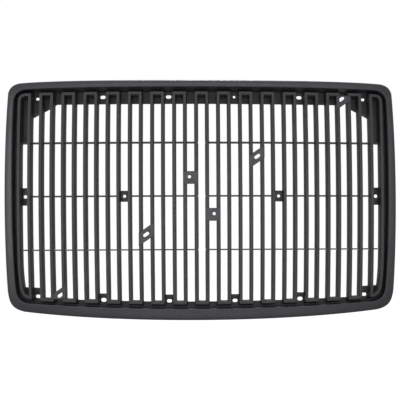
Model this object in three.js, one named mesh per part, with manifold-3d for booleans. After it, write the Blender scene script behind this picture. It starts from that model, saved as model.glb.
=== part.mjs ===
// Front grille of a conventional truck: a bowed black surround, four carrier rails behind it, seventeen
// upright louvre loops staked to the rails, tie ribs that interlock with the loops, and fastening tabs.
// Millimetres, +Z up, the front looks along -Y, x = 0 is the plane of symmetry, and y = 0 is the rear
// seating plane of the corners.
import * as THREE from "three";
import { ParametricGeometry } from "three/addons/geometries/ParametricGeometry.js";
import { mergeVertices, toCreasedNormals } from "three/addons/utils/BufferGeometryUtils.js";
import Module from "manifold-3d";

// The front is a shallow dome: y grows from the middle of the louvres towards every edge.
const FRONT_Y = -97;
const PLAN_RADIUS = 5550;
const SIDE_RADIUS = 1950;

// The surround's inside wall leans in towards the rear along the top, and stands straight round the corners
// and below.
const TOP_DRAFT = 8.7;
const DRAFT_END_X = 476;
const DRAFT_FADE = 48;
const DRAFT_START_DEPTH = 20;

// Louvre loops: a tapered bar, narrow in front, bent round into a tall closed ring.
const LOOP_COUNT = 17;
const LOOP_PITCH = 63.35;
const LEG_SPACING = 31;
const BAR_HALF_FRONT = 3.9;
const BAR_HALF_REAR = 6.1;
const BAR_DEPTH = 39.7;
const LOOP_TOP = 306;
const LOOP_BOTTOM = -295;
const LOOP_TOP_SAG = 5.5e-6;
const LOOP_BOTTOM_SAG = 5.4e-5;
const SHOULDER_DEPTH = 24;
const TOP_SHOULDER = 10.3;
const BOTTOM_SHOULDER = 7.6;
const SIDE_SHOULDER = 5.23;
const TOP_END_REAR = 6.5;
const CORNER_TOP_END_REAR = 14.5;
const BOTTOM_END_REAR = 10;
const LEG_STEP = 64;

// Outermost loops follow the surround's corners.
const OUTER_LEG_X = 521;
const OUTER_LOOP_TOP = 303.2;
const OUTER_LOOP_BOTTOM = -277.6;

// Heat-staked pegs that join each loop to the rails.
const PEG_RADIUS = 2.4;
const PEG_LENGTH = 9;
const PEG_CLEARANCE = 0.35;

// Carrier rails: a bowed plate behind the louvres. The top one has gussets in its corners, and one notch
// that gives access to the diagonal tab in front of it.
const RAIL_FRONT = 40.1;
const RAIL_THICKNESS = 3.2;
const RAIL_EDGE_SHARE = 0.2;
const PANEL_BOTTOM = 280.6;
const GUSSET = [
  [418, 279.6],
  [438, 266.2],
];
const GUSSET_END_Z = 237.8;
const ACCESS_NOTCH = { gap: 6, bottom: 260, top: 306, halfWidth: 12 };
const STILE_TOP = 152;
const STILE_BOTTOM = -236;
const RAIL_JOINT_GAP = 0.5;

// Screws through the rails into bosses moulded inside the surround.
const BOSS_RADIUS = 4.8;
const BOSS_FRONT = 1.5;
const BOSS_REAR = 38.4;
const PILOT_RADIUS = 2.5;
const PILOT_LENGTH = 17;
const PAD_RADIUS = 6.2;
const PAD_REAR = 45.4;
const SCREW_RADIUS = 2;
const SCREW_HEAD_RADIUS = 4.6;
const SCREW_HEAD_HEIGHT = 2.8;
const SCREW_LENGTH = 18;
const SCREW_SITES = [
  { name: "top_inner", edge: "top", x: 158 },
  { name: "top_outer", edge: "top", x: 412 },
  { name: "side_upper", edge: "side", z: 215 },
  { name: "side_lower", edge: "side", z: -60 },
  { name: "bottom_outer", edge: "bottom", x: 400 },
  { name: "bottom_inner", edge: "bottom", x: 158 },
];

// Slots that take the fasteners to the hood, in gaps between loops, with flat pads behind them.
// The inset of a slot is how far its middle lies inwards of the gap's middle.
const HOOD_PAD_REAR = 46.6;
const TOP_SLOTS = [
  { gap: 1, z: 301.3, length: 15.5, height: 10.3, inset: 0 },
  { gap: 4, z: 301, length: 15.5, height: 10.3, inset: 0 },
  { gap: 7, z: 297.6, length: 13.2, height: 8.3, inset: 1.5 },
];
const BOTTOM_SLOTS = [
  { gap: 1, z: -290, length: 14.4, height: 9.6, inset: 0 },
  { gap: 4, z: -286.3, length: 15.5, height: 11.2, inset: 0 },
  { gap: 7, z: -275.3, length: 15, height: 9.6, inset: 0 },
];
const LOCATOR_RADIUS = 3.9;
const BOTTOM_TAB_TOP = 20.5;
const BOTTOM_TAB_HALF_WIDTH = 13.5;

// Tie ribs at three heights, let into slots in the backs of the loops.
const RIB_SPACING = 153.5;
const RIB_MIDDLE_Z = 11.5;
const RIB_THICKNESS = 3.8;
const RIB_FRONT = 17;
const RIB_REAR = 38;
const RIB_CLEARANCE = 0.35;

// Seat for the diagonal trim bar and the emblem: the loop fronts are cut back by this much.
const SEAT_DEPTH = 3;
const SEAT_CENTRE_Z = 12;
const BAND_SLOPE = 0.698;
const BAND_HALF_HEIGHT = 19.3;
const BAND_REACH = 448;
const SEAT_TOP = 301.6;
const SEAT_BOTTOM = -282;
const EMBLEM_SEAT = { halfWidth: 56, halfHeight: 72 };

// Fastening tabs.
const TAB_THICKNESS = 3;
const TAB_CLEARANCE = 0.35;
const EMBLEM_TAB = { gap: 0, halfHeight: 18.3, midZ: 10, reach: 52.4 };
const EMBLEM_HOLE = { x: 34.8, rise: 2, radius: 4.6 };
const DIAGONAL_TABS = [
  { name: "inner", gap: 2, slotX: 158.4, rightDrop: 0, rightSkirt: 0 },
  { name: "outer", gap: 6, slotX: 404.6, rightDrop: 3.1, rightSkirt: 6 },
];
const DIAGONAL_SLOT = { length: 19, height: 9 };
const MID_TAB = { gap: 3, halfHeight: 15.9, holeRadius: 4.4 };
const SIDE_TAB = { from: 489.5, to: 519, halfHeight: 25.3, holeX: 507.8, holeRadius: 5.1 };

const BLACK_PLASTIC = { color: 0x2c2c2e, roughness: 0.48, metalness: 0 };
const ZINC_STEEL = { color: 0x8e9196, roughness: 0.35, metalness: 0.9 };

const wasm = await Module();
wasm.setup();

// ---------- shared helpers ----------

const bow = (x, z) => FRONT_Y + (x * x) / (2 * PLAN_RADIUS) + (z * z) / (2 * SIDE_RADIUS);

// The plane that touches the dome at one point.
function tangent(x0, z0) {
  const y0 = bow(x0, z0);
  return (x, z) => y0 + (x0 * (x - x0)) / PLAN_RADIUS + (z0 * (z - z0)) / SIDE_RADIUS;
}

// Adds a surface's y to every vertex, so that depth 0 lies on it.
function drape(geometry, surface) {
  const position = geometry.getAttribute("position");
  for (let i = 0; i < position.count; i += 1) {
    position.setY(i, position.getY(i) + surface(position.getX(i), position.getZ(i)));
  }
  return geometry;
}

function toSolid(geometry) {
  const plain = geometry.clone();
  plain.deleteAttribute("normal");
  plain.deleteAttribute("uv");
  const merged = mergeVertices(plain, 1e-4);
  return new wasm.Manifold(
    new wasm.Mesh({
      numProp: 3,
      vertProperties: new Float32Array(merged.getAttribute("position").array),
      triVerts: new Uint32Array(merged.index.array),
    }),
  );
}

function toMesh(name, solid, finish) {
  const data = solid.getMesh();
  const geometry = new THREE.BufferGeometry();
  geometry.setAttribute("position", new THREE.BufferAttribute(data.vertProperties, data.numProp));
  geometry.setIndex(new THREE.BufferAttribute(data.triVerts, 1));
  const mesh = new THREE.Mesh(toCreasedNormals(geometry, 0.5), new THREE.MeshStandardMaterial(finish));
  mesh.name = name;
  return mesh;
}

// A prism along Y from one depth to another. The shape's own x and y become x and z.
function prism(shape, front, rear, curveSegments = 4) {
  const geometry = new THREE.ExtrudeGeometry(shape, {
    depth: rear - front,
    bevelEnabled: false,
    curveSegments,
  });
  return geometry.rotateX(Math.PI / 2).translate(0, rear, 0);
}

// A closed surface over a grid of points that wraps both ways.
function wrappedGrid(grid) {
  const rows = grid.length;
  const columns = grid[0].length;
  return new ParametricGeometry(
    (u, v, target) => target.copy(grid[Math.round(u * rows) % rows][Math.round(v * columns) % columns]),
    rows,
    columns,
  );
}

// A dome-shaped layer over the whole grille, between two depths.
function domeLayer(front, rear) {
  const geometry = new THREE.BoxGeometry(1200, rear - front, 760, 24, 1, 14);
  geometry.translate(0, (front + rear) / 2, 0);
  return toSolid(drape(geometry, bow));
}

const rectangle = (x, z, halfWidth, halfHeight) =>
  new THREE.Shape([
    new THREE.Vector2(x - halfWidth, z - halfHeight),
    new THREE.Vector2(x + halfWidth, z - halfHeight),
    new THREE.Vector2(x + halfWidth, z + halfHeight),
    new THREE.Vector2(x - halfWidth, z + halfHeight),
  ]);

// A round-ended slot, turned by an angle; a slot as long as it is high is a round hole.
function slotShape(x, z, length, height, angle = 0) {
  const radius = height / 2;
  const reach = length / 2 - radius;
  const shape = new THREE.Shape();
  const right = new THREE.Vector2(x + reach * Math.cos(angle), z + reach * Math.sin(angle));
  const left = new THREE.Vector2(x - reach * Math.cos(angle), z - reach * Math.sin(angle));
  shape.absarc(right.x, right.y, radius, angle - Math.PI / 2, angle + Math.PI / 2);
  shape.absarc(left.x, left.y, radius, angle + Math.PI / 2, angle + (3 * Math.PI) / 2);
  return shape;
}

function cylinder(x, z, radius, front, rear, sides) {
  const geometry = new THREE.CylinderGeometry(radius, radius, rear - front, sides);
  return toSolid(geometry.translate(x, bow(x, z) + (front + rear) / 2, z));
}

const gapCentre = (gap) => (gap + 0.5) * LOOP_PITCH;

const mirrored = (solid) => {
  const data = solid.getMesh();
  const geometry = new THREE.BufferGeometry();
  geometry.setAttribute("position", new THREE.BufferAttribute(data.vertProperties.slice(), data.numProp));
  geometry.setIndex(new THREE.BufferAttribute(data.triVerts.slice().reverse(), 1));
  return toSolid(geometry.scale(-1, 1, 1));
};

// ---------- surround ----------

// Half outlines from the top middle, round the right side, to the bottom middle.
function outerOutline() {
  const path = new THREE.Path().moveTo(0, 346.8);
  path.bezierCurveTo(300, 346.8, 440, 345.8, 520, 340.2);
  path.bezierCurveTo(539, 337.6, 551, 331, 556.3, 311);
  path.bezierCurveTo(560.8, 240, 562.7, 110, 562.7, 0);
  path.bezierCurveTo(562.7, -110, 561, -205, 558.4, -260);
  path.bezierCurveTo(555.4, -298, 543.6, -312, 510, -319.3);
  path.bezierCurveTo(380, -335.3, 200, -345.5, 0, -345.5);
  return path;
}

function innerOutline() {
  const path = new THREE.Path().moveTo(0, 323.8);
  path.bezierCurveTo(290, 323.8, 420, 321.5, 500, 318.3);
  path.bezierCurveTo(520, 317.5, 533.5, 306, 536, 288);
  path.bezierCurveTo(538, 250, 538.3, 120, 538, 30);
  path.bezierCurveTo(538, -90, 535.5, -190, 531, -257);
  path.bezierCurveTo(527.5, -284, 512, -292, 490, -294);
  path.bezierCurveTo(360, -304, 190, -311.2, 0, -311.2);
  return path;
}

const OUTLINE_STEPS = [7, 6, 4, 4, 6, 7];

// A half outline with its mirror image, as one ring, anticlockwise seen from the front.
function ringPoints(path) {
  const half = [];
  path.curves.forEach((curve, i) => half.push(...curve.getPoints(OUTLINE_STEPS[i]).slice(i === 0 ? 0 : 1)));
  const other = half.slice(1, -1).reverse();
  return [...half, ...other.map((p) => new THREE.Vector2(-p.x, p.y))].reverse();
}

// Section of the surround as [share of the band from outside to inside, extra mm inwards, depth].
const SURROUND_SECTION = [
  [0, 0, 39.6],
  [0, 0, 13],
  [0, 1.4, 8],
  [0.18, 0, 3.2],
  [0.48, 0, -1],
  [1, -2.8, -4.2],
  [1, -0.4, -3],
  [1, 0, 39.6],
  [1, -3, 39.6],
  [1, -3, 1.8],
  [0.48, 0, 2.6],
  [0, 3, 12],
  [0, 3, 39.6],
];

// Leans the inside wall of the surround in towards the rear.
function wallDraft(p, depth) {
  if (p.y < 0 || depth < DRAFT_START_DEPTH) return 0;
  return TOP_DRAFT * THREE.MathUtils.clamp((DRAFT_END_X - Math.abs(p.x)) / DRAFT_FADE, 0, 1);
}

function bandPoint(outer, inner, share, extra) {
  const width = outer.distanceTo(inner);
  return outer.clone().lerp(inner, share + extra / width);
}

function surround(sites) {
  const outer = ringPoints(outerOutline());
  const inner = ringPoints(innerOutline());
  const grid = outer.map((point, i) =>
    SURROUND_SECTION.map(([share, extra, depth]) => {
      const lean = share === 1 ? wallDraft(inner[i], depth) : 0;
      const p = bandPoint(point, inner[i], share, extra + lean);
      return new THREE.Vector3(p.x, bow(p.x, p.y) + depth, p.y);
    }),
  );
  let solid = toSolid(wrappedGrid(grid));
  sites.forEach(({ x, z }) => {
    solid = solid.add(cylinder(x, z, BOSS_RADIUS, BOSS_FRONT, BOSS_REAR, 10));
    solid = solid.subtract(cylinder(x, z, PILOT_RADIUS, BOSS_REAR - PILOT_LENGTH, BOSS_REAR + 2, 8));
  });
  return solid;
}

// Where each screw goes: the middle of the band at a given x or z, on both sides.
function screwSites() {
  const outer = ringPoints(outerOutline());
  const inner = ringPoints(innerOutline());
  const middle = outer.map((point, i) => bandPoint(point, inner[i], 0.5, 0));
  const half = middle.filter((p) => p.x >= 0);
  const onEdge = {
    top: (p) => p.y > 300,
    side: (p) => p.x > 540,
    bottom: (p) => p.y < -270,
  };
  return SCREW_SITES.flatMap(({ name, edge, x, z }) => {
    const along = edge === "side" ? "y" : "x";
    const value = edge === "side" ? z : x;
    const candidates = half.filter(onEdge[edge]);
    const next = candidates.findIndex(
      (p, i) => i > 0 && (p[along] - value) * (candidates[i - 1][along] - value) <= 0,
    );
    const a = candidates[next - 1];
    const b = candidates[next];
    const p = a.clone().lerp(b, (value - a[along]) / (b[along] - a[along]));
    return [
      { name: `screw_${name}_right`, x: p.x, z: p.y },
      { name: `screw_${name}_left`, x: -p.x, z: p.y },
    ];
  });
}

// ---------- louvre loops ----------

const loopTop = (x) => LOOP_TOP - LOOP_TOP_SAG * x * x;
const loopBottom = (x) => LOOP_BOTTOM + LOOP_BOTTOM_SAG * x * x;

// Centre line of a loop, anticlockwise seen from the front, starting at its lower left corner.
function loopCentreLine(x) {
  const left = x - LEG_SPACING / 2;
  const right = x + LEG_SPACING / 2;
  return new THREE.Path([
    new THREE.Vector2(left, loopBottom(left)),
    new THREE.Vector2(right, loopBottom(right)),
    new THREE.Vector2(right, loopTop(right)),
    new THREE.Vector2(left, loopTop(left)),
  ]);
}

// Centre line of the loop at the right-hand end.
function cornerLoopCentreLine() {
  const inner = ((LOOP_COUNT - 1) / 2) * LOOP_PITCH - LEG_SPACING / 2;
  const path = new THREE.Path().moveTo(inner, OUTER_LOOP_BOTTOM);
  path.bezierCurveTo(inner + 20, OUTER_LOOP_BOTTOM + 3, OUTER_LEG_X - 6, -262, OUTER_LEG_X - 3.4, -240);
  path.bezierCurveTo(OUTER_LEG_X - 1, -215, OUTER_LEG_X, -195, OUTER_LEG_X, -165);
  path.lineTo(OUTER_LEG_X, 284);
  const top = OUTER_LOOP_TOP;
  path.bezierCurveTo(OUTER_LEG_X, 298, OUTER_LEG_X - 6, top - 0.6, OUTER_LEG_X - 18, top);
  path.lineTo(inner, OUTER_LOOP_TOP);
  return path;
}

// The path's points, with long straight stretches cut up so that they can follow the dome.
function stations(path) {
  const points = path.getPoints(5);
  const closed = [...points, points[0]];
  return closed.slice(0, -1).flatMap((p, i) => {
    const next = closed[i + 1];
    const parts = Math.max(1, Math.ceil(p.distanceTo(next) / LEG_STEP));
    return Array.from({ length: parts }, (_, k) => p.clone().lerp(next, k / parts));
  });
}

// Outward mitre at each point of a closed anticlockwise line.
function mitres(points) {
  return points.map((p, i) => {
    const before = p.clone().sub(points[(i + points.length - 1) % points.length]).normalize();
    const after = points[(i + 1) % points.length].clone().sub(p).normalize();
    const a = new THREE.Vector2(before.y, -before.x);
    const b = new THREE.Vector2(after.y, -after.x);
    return a.clone().add(b).divideScalar(1 + a.dot(b));
  });
}

// The bar's section follows the line. Its outer side has a shoulder, so that the top end can rise towards
// the surround's leaning wall and then fall away beside it.
function loopRing(path, topEndRear) {
  const points = stations(path);
  const outward = mitres(points);
  const grid = points.map((p, i) => {
    const n = outward[i];
    const shoulder = n.y > 0 ? TOP_SHOULDER : BOTTOM_SHOULDER;
    const endReach = n.y > 0 ? topEndRear : BOTTOM_END_REAR;
    const section = [
      [n.x * BAR_HALF_FRONT, n.y * BAR_HALF_FRONT, 0],
      [-n.x * BAR_HALF_FRONT, -n.y * BAR_HALF_FRONT, 0],
      [-n.x * BAR_HALF_REAR, -n.y * BAR_HALF_REAR, BAR_DEPTH],
      [n.x * BAR_HALF_REAR, n.y * endReach, BAR_DEPTH],
      [n.x * SIDE_SHOULDER, n.y * shoulder, SHOULDER_DEPTH],
    ];
    return section.map(([dx, dz, depth]) => {
      const y = bow(p.x + dx, p.y + dz) + depth;
      return new THREE.Vector3(p.x + dx, y, p.y + dz);
    });
  });
  return toSolid(wrappedGrid(grid));
}

// Peg positions on one loop, at the middle of each end's rear face.
const pegSites = (x) => {
  const last = Math.abs(x) > 7.5 * LOOP_PITCH;
  const top = last ? OUTER_LOOP_TOP : loopTop(x);
  const bottom = last ? OUTER_LOOP_BOTTOM : loopBottom(x);
  const topEndRear = last ? CORNER_TOP_END_REAR : TOP_END_REAR;
  return [
    { x, z: top + (topEndRear - BAR_HALF_REAR) / 2 },
    { x, z: bottom - (BOTTOM_END_REAR - BAR_HALF_REAR) / 2 },
  ];
};

const loopCentres = Array.from({ length: LOOP_COUNT }, (_, i) => (i - (LOOP_COUNT - 1) / 2) * LOOP_PITCH);

// ---------- seats and slots cut into the loops ----------

function bandShape() {
  const middle = (x) => SEAT_CENTRE_Z + BAND_SLOPE * x;
  return new THREE.Shape([
    new THREE.Vector2(-BAND_REACH, middle(-BAND_REACH) - BAND_HALF_HEIGHT),
    new THREE.Vector2(BAND_REACH, middle(BAND_REACH) - BAND_HALF_HEIGHT),
    new THREE.Vector2(BAND_REACH, middle(BAND_REACH) + BAND_HALF_HEIGHT),
    new THREE.Vector2(-BAND_REACH, middle(-BAND_REACH) + BAND_HALF_HEIGHT),
  ]);
}

// Seats and tabs stay between the top and bottom ends of the loops.
function betweenEnds(solid) {
  const middle = (SEAT_TOP + SEAT_BOTTOM) / 2;
  const window = rectangle(0, middle, 700, (SEAT_TOP - SEAT_BOTTOM) / 2);
  return solid.intersect(toSolid(prism(window, -300, 300)));
}

function seatCutter() {
  const shapes = [bandShape(), rectangle(0, SEAT_CENTRE_Z, EMBLEM_SEAT.halfWidth, EMBLEM_SEAT.halfHeight)];
  const [band, emblem] = shapes.map((shape) => toSolid(prism(shape, -300, 300)));
  return betweenEnds(band.add(emblem).intersect(domeLayer(-30, SEAT_DEPTH)));
}

const ribHeights = [RIB_MIDDLE_Z + RIB_SPACING, RIB_MIDDLE_Z, RIB_MIDDLE_Z - RIB_SPACING];

function ribBox(from, to, z, clearance, rear) {
  const steps = Math.ceil((to - from) / 60);
  const front = RIB_FRONT - clearance;
  const height = RIB_THICKNESS + 2 * clearance;
  const geometry = new THREE.BoxGeometry(to - from, rear - front, height, steps, 1, 1);
  geometry.translate((from + to) / 2, (front + rear) / 2, z);
  return toSolid(drape(geometry, bow));
}

// ---------- tabs ----------

// Tabs lie on the front of two neighbouring legs, or across the backs of them.
function tabPlate(shape, x, z, front) {
  return toSolid(drape(prism(shape, front, front + TAB_THICKNESS, 6), tangent(x, z)));
}

function pocket(shape, x, z) {
  return toSolid(drape(prism(shape, -30, SEAT_DEPTH + TAB_THICKNESS + TAB_CLEARANCE), tangent(x, z)));
}

const legReach = (LOOP_PITCH - LEG_SPACING) / 2;

function emblemTab(side, clearance) {
  const x = side * gapCentre(EMBLEM_TAB.gap);
  const z = EMBLEM_TAB.midZ - side * EMBLEM_TAB.reach;
  const halfWidth = legReach + BAR_HALF_FRONT + 1.5 + clearance;
  const shape = rectangle(x, z, halfWidth, EMBLEM_TAB.halfHeight + clearance);
  if (clearance) return pocket(shape, x, z);
  const bore = 2 * EMBLEM_HOLE.radius;
  shape.holes.push(slotShape(side * EMBLEM_HOLE.x, z + EMBLEM_HOLE.rise, bore, bore));
  return tabPlate(shape, x, z, SEAT_DEPTH);
}

// The outer tab on the right reaches lower than the band and has its slot lower, clear of the loop's end.
function diagonalTab(side, { gap, slotX, rightDrop, rightSkirt }, clearance) {
  const x = side * gapCentre(gap);
  const z = SEAT_CENTRE_Z + BAND_SLOPE * x;
  const halfWidth = legReach + BAR_HALF_FRONT + 1 + clearance;
  const halfHeight = BAND_HALF_HEIGHT - 0.4 + 1.3 * clearance;
  const below = halfHeight + (side > 0 ? rightSkirt : 0);
  const shape = new THREE.Shape([
    new THREE.Vector2(x - halfWidth, z - BAND_SLOPE * halfWidth - below),
    new THREE.Vector2(x + halfWidth, z + BAND_SLOPE * halfWidth - below),
    new THREE.Vector2(x + halfWidth, z + BAND_SLOPE * halfWidth + halfHeight),
    new THREE.Vector2(x - halfWidth, z - BAND_SLOPE * halfWidth + halfHeight),
  ]);
  if (clearance) return betweenEnds(pocket(shape, x, z));
  const slotZ = SEAT_CENTRE_Z + BAND_SLOPE * side * slotX - (side > 0 ? rightDrop : 0);
  const { length, height } = DIAGONAL_SLOT;
  shape.holes.push(slotShape(side * slotX, slotZ, length, height, Math.atan(BAND_SLOPE)));
  return betweenEnds(tabPlate(shape, x, z, SEAT_DEPTH));
}

function midTab(side) {
  const x = side * gapCentre(MID_TAB.gap);
  const shape = rectangle(x, SEAT_CENTRE_Z, legReach + BAR_HALF_REAR - 0.5, MID_TAB.halfHeight);
  shape.holes.push(slotShape(x, SEAT_CENTRE_Z, 2 * MID_TAB.holeRadius, 2 * MID_TAB.holeRadius));
  return tabPlate(shape, x, SEAT_CENTRE_Z, RAIL_FRONT);
}

function sideTab(side) {
  const x = (side * (SIDE_TAB.from + SIDE_TAB.to)) / 2;
  const shape = rectangle(x, SEAT_CENTRE_Z, (SIDE_TAB.to - SIDE_TAB.from) / 2, SIDE_TAB.halfHeight);
  const holeX = side * SIDE_TAB.holeX;
  shape.holes.push(slotShape(holeX, SEAT_CENTRE_Z, 2 * SIDE_TAB.holeRadius, 2 * SIDE_TAB.holeRadius));
  return tabPlate(shape, x, SEAT_CENTRE_Z, RAIL_FRONT);
}

// ---------- carrier rails ----------

// Right half of the opening that the rails leave, from the top middle to the bottom middle.
function openingOutline() {
  const lastInnerLeg = 8 * LOOP_PITCH - LEG_SPACING / 2;
  const stileEdge = OUTER_LEG_X - 1.5;
  const sill = (x) => LOOP_BOTTOM + 2.6 + LOOP_BOTTOM_SAG * x * x;
  const points = [
    [0, PANEL_BOTTOM],
    ...GUSSET,
    [lastInnerLeg, GUSSET_END_Z],
    [lastInnerLeg, ribHeights[0]],
    [stileEdge, ribHeights[0]],
    [stileEdge, -248],
    [lastInnerLeg - LEG_SPACING - 1, -251],
    [lastInnerLeg - LEG_SPACING - 1, sill(460)],
  ];
  [BOTTOM_SLOTS[1], BOTTOM_SLOTS[0]].forEach(({ gap }) => {
    const x = gapCentre(gap);
    const top = sill(x) + BOTTOM_TAB_TOP;
    points.push([x + 95, sill(x + 95)]);
    points.push([x + BOTTOM_TAB_HALF_WIDTH, sill(x + BOTTOM_TAB_HALF_WIDTH)]);
    points.push([x + BOTTOM_TAB_HALF_WIDTH, top]);
    points.push([x - BOTTOM_TAB_HALF_WIDTH, top]);
    points.push([x - BOTTOM_TAB_HALF_WIDTH, sill(x - BOTTOM_TAB_HALF_WIDTH)]);
  });
  points.push([0, sill(0)]);
  return points.map(([x, z]) => new THREE.Vector2(x, z));
}

// One plate with the opening in it, cut from the dome-shaped layer.
function carrierPlate() {
  const outer = ringPoints(outerOutline());
  const inner = ringPoints(innerOutline());
  const rim = new THREE.Shape(outer.map((point, i) => bandPoint(point, inner[i], RAIL_EDGE_SHARE, 0)));
  const half = openingOutline();
  const other = half.slice(1, -1).reverse();
  rim.holes.push(new THREE.Path([...half, ...other.map((p) => new THREE.Vector2(-p.x, p.y))]));
  const { gap, bottom, top, halfWidth } = ACCESS_NOTCH;
  const notch = rectangle(gapCentre(gap), (top + bottom) / 2, halfWidth, (top - bottom) / 2);
  const layer = domeLayer(RAIL_FRONT, RAIL_FRONT + RAIL_THICKNESS);
  return toSolid(prism(rim, -300, 300)).subtract(toSolid(prism(notch, -300, 300))).intersect(layer);
}

const slotSites = [...TOP_SLOTS, ...BOTTOM_SLOTS].flatMap(({ gap, z, length, height, inset }) =>
  [-1, 1].map((side) => ({
    x: side * gapCentre(gap),
    slotX: side * (gapCentre(gap) - inset),
    z,
    length,
    height,
    round: z > 0 && side * gap === 1,
  })),
);

// Flat pads, then every hole, added to the stretch of plate inside one window.
function carrierRail(plate, window, screws, wanted) {
  const behindPlate = domeLayer(RAIL_FRONT + 1, RAIL_FRONT + 20);
  let rail = plate.intersect(toSolid(prism(window, -300, 300)));
  const inside = (site) => wanted(site.x, site.z);
  const slots = slotSites.filter(inside);
  slots.forEach(({ x, z }) => {
    const pad = prism(rectangle(x, z, BOTTOM_TAB_HALF_WIDTH - 1, 10), 0, HOOD_PAD_REAR);
    rail = rail.add(toSolid(pad.translate(0, bow(x, z), 0)).intersect(behindPlate));
  });
  screws.filter(inside).forEach(({ x, z }) => {
    rail = rail.add(cylinder(x, z, PAD_RADIUS, BOSS_REAR + 0.4, PAD_REAR, 12));
    rail = rail.subtract(cylinder(x, z, SCREW_RADIUS + 0.5, 0, 60, 8));
  });
  slots.forEach(({ slotX, z, length, height, round }) => {
    const shape = round
      ? slotShape(slotX, z, 2 * LOCATOR_RADIUS, 2 * LOCATOR_RADIUS)
      : slotShape(slotX, z, length, height);
    rail = rail.subtract(toSolid(prism(shape, -300, 300, 6)));
  });
  loopCentres.flatMap(pegSites).filter(inside).forEach(({ x, z }) => {
    rail = rail.subtract(cylinder(x, z, PEG_RADIUS + PEG_CLEARANCE, 20, 60, 8));
  });
  return rail;
}

// ---------- screws ----------

function screw({ x, z }) {
  const seat = PAD_REAR + 0.3;
  const head = seat + SCREW_HEAD_HEIGHT;
  const profile = [
    [0, seat - SCREW_LENGTH],
    [SCREW_RADIUS * 0.4, seat - SCREW_LENGTH],
    [SCREW_RADIUS, seat - SCREW_LENGTH + 3],
    [SCREW_RADIUS, seat],
    [SCREW_HEAD_RADIUS, seat],
    [SCREW_HEAD_RADIUS * 0.85, head],
    [0, head],
  ];
  const geometry = new THREE.LatheGeometry(profile.map(([r, y]) => new THREE.Vector2(r, y)), 10);
  return toSolid(geometry.translate(x, bow(x, z), z));
}

// ---------- assembly ----------

const grille = new THREE.Group();
grille.name = "front_grille";
const add = (name, solid, finish = BLACK_PLASTIC) => grille.add(toMesh(name, solid, finish));
const sides = [
  ["left", -1],
  ["right", 1],
];

const screws = screwSites();
add("surround_bezel", surround(screws));

const plate = carrierPlate();
const gap = RAIL_JOINT_GAP / 2;
const railWindows = {
  top_rail: [rectangle(0, 400 + STILE_TOP + gap, 700, 400), (x, z) => z > STILE_TOP],
  bottom_rail: [rectangle(0, STILE_BOTTOM - gap - 400, 700, 400), (x, z) => z < STILE_BOTTOM],
  right_stile: [
    rectangle(600, (STILE_TOP + STILE_BOTTOM) / 2, 300, (STILE_TOP - STILE_BOTTOM) / 2 - gap),
    (x, z) => x > 0 && z < STILE_TOP && z > STILE_BOTTOM,
  ],
  left_stile: [
    rectangle(-600, (STILE_TOP + STILE_BOTTOM) / 2, 300, (STILE_TOP - STILE_BOTTOM) / 2 - gap),
    (x, z) => x < 0 && z < STILE_TOP && z > STILE_BOTTOM,
  ],
};
Object.entries(railWindows).forEach(([name, [window, wanted]]) => {
  add(`carrier_${name}`, carrierRail(plate, window, screws, wanted));
});

// Everything that is cut out of the loops, kept apart so that each loop meets only what is near it.
const cutters = [{ from: -BAND_REACH, to: BAND_REACH, solid: seatCutter() }];
const noteCutter = (x, solid) => cutters.push({ from: x - 30, to: x + 30, solid });
sides.forEach(([, side]) => {
  noteCutter(side * gapCentre(EMBLEM_TAB.gap), emblemTab(side, TAB_CLEARANCE));
  DIAGONAL_TABS.forEach((tab) => {
    noteCutter(side * gapCentre(tab.gap), diagonalTab(side, tab, TAB_CLEARANCE));
  });
});
ribHeights.forEach((z) => {
  const solid = ribBox(-530, -9, z, RIB_CLEARANCE, 60).add(ribBox(9, 530, z, RIB_CLEARANCE, 60));
  cutters.push({ from: -530, to: 530, solid });
});

loopCentres.forEach((x, i) => {
  const last = i === 0 || i === LOOP_COUNT - 1;
  let loop = last
    ? loopRing(cornerLoopCentreLine(), CORNER_TOP_END_REAR)
    : loopRing(loopCentreLine(x), TOP_END_REAR);
  if (i === 0) loop = mirrored(loop);
  pegSites(x).forEach((site) => {
    loop = loop.add(cylinder(site.x, site.z, PEG_RADIUS, BAR_DEPTH - 6, BAR_DEPTH + PEG_LENGTH - 2, 8));
  });
  cutters
    .filter(({ from, to }) => to > x - 25 && from < x + 25)
    .forEach(({ solid }) => {
      loop = loop.subtract(solid);
    });
  add(`louvre_loop_${String(i + 1).padStart(2, "0")}`, loop);
});

const ribEnd = LEG_SPACING / 2 - BAR_HALF_FRONT;
const midGapInner = 3 * LOOP_PITCH + LEG_SPACING / 2;
const midGapOuter = 4 * LOOP_PITCH - LEG_SPACING / 2;
const lastLeg = 8 * LOOP_PITCH - LEG_SPACING / 2;
const ribSpans = [
  ["upper", ribHeights[0], ribEnd, OUTER_LEG_X + 3],
  ["middle_inner", ribHeights[1], ribEnd, midGapInner + BAR_HALF_FRONT],
  ["middle_outer", ribHeights[1], midGapOuter - BAR_HALF_FRONT, lastLeg + BAR_HALF_FRONT],
  ["lower", ribHeights[2], ribEnd, OUTER_LEG_X + 3],
];
ribSpans.forEach(([height, z, from, to]) => {
  add(`tie_rib_${height}_left`, ribBox(-to, -from, z, 0, RIB_REAR));
  add(`tie_rib_${height}_right`, ribBox(from, to, z, 0, RIB_REAR));
});

sides.forEach(([word, side]) => {
  add(`emblem_tab_${word}`, emblemTab(side, 0));
  DIAGONAL_TABS.forEach((tab) => add(`diagonal_tab_${tab.name}_${word}`, diagonalTab(side, tab, 0)));
  add(`mid_tab_${word}`, midTab(side));
  add(`side_tab_${word}`, sideTab(side));
});

screws.forEach((site) => add(site.name, screw(site), ZINC_STEEL));

export default grille;
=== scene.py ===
import math
import bmesh
import bpy
import numpy as np
from mathutils import Matrix, Vector


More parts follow.
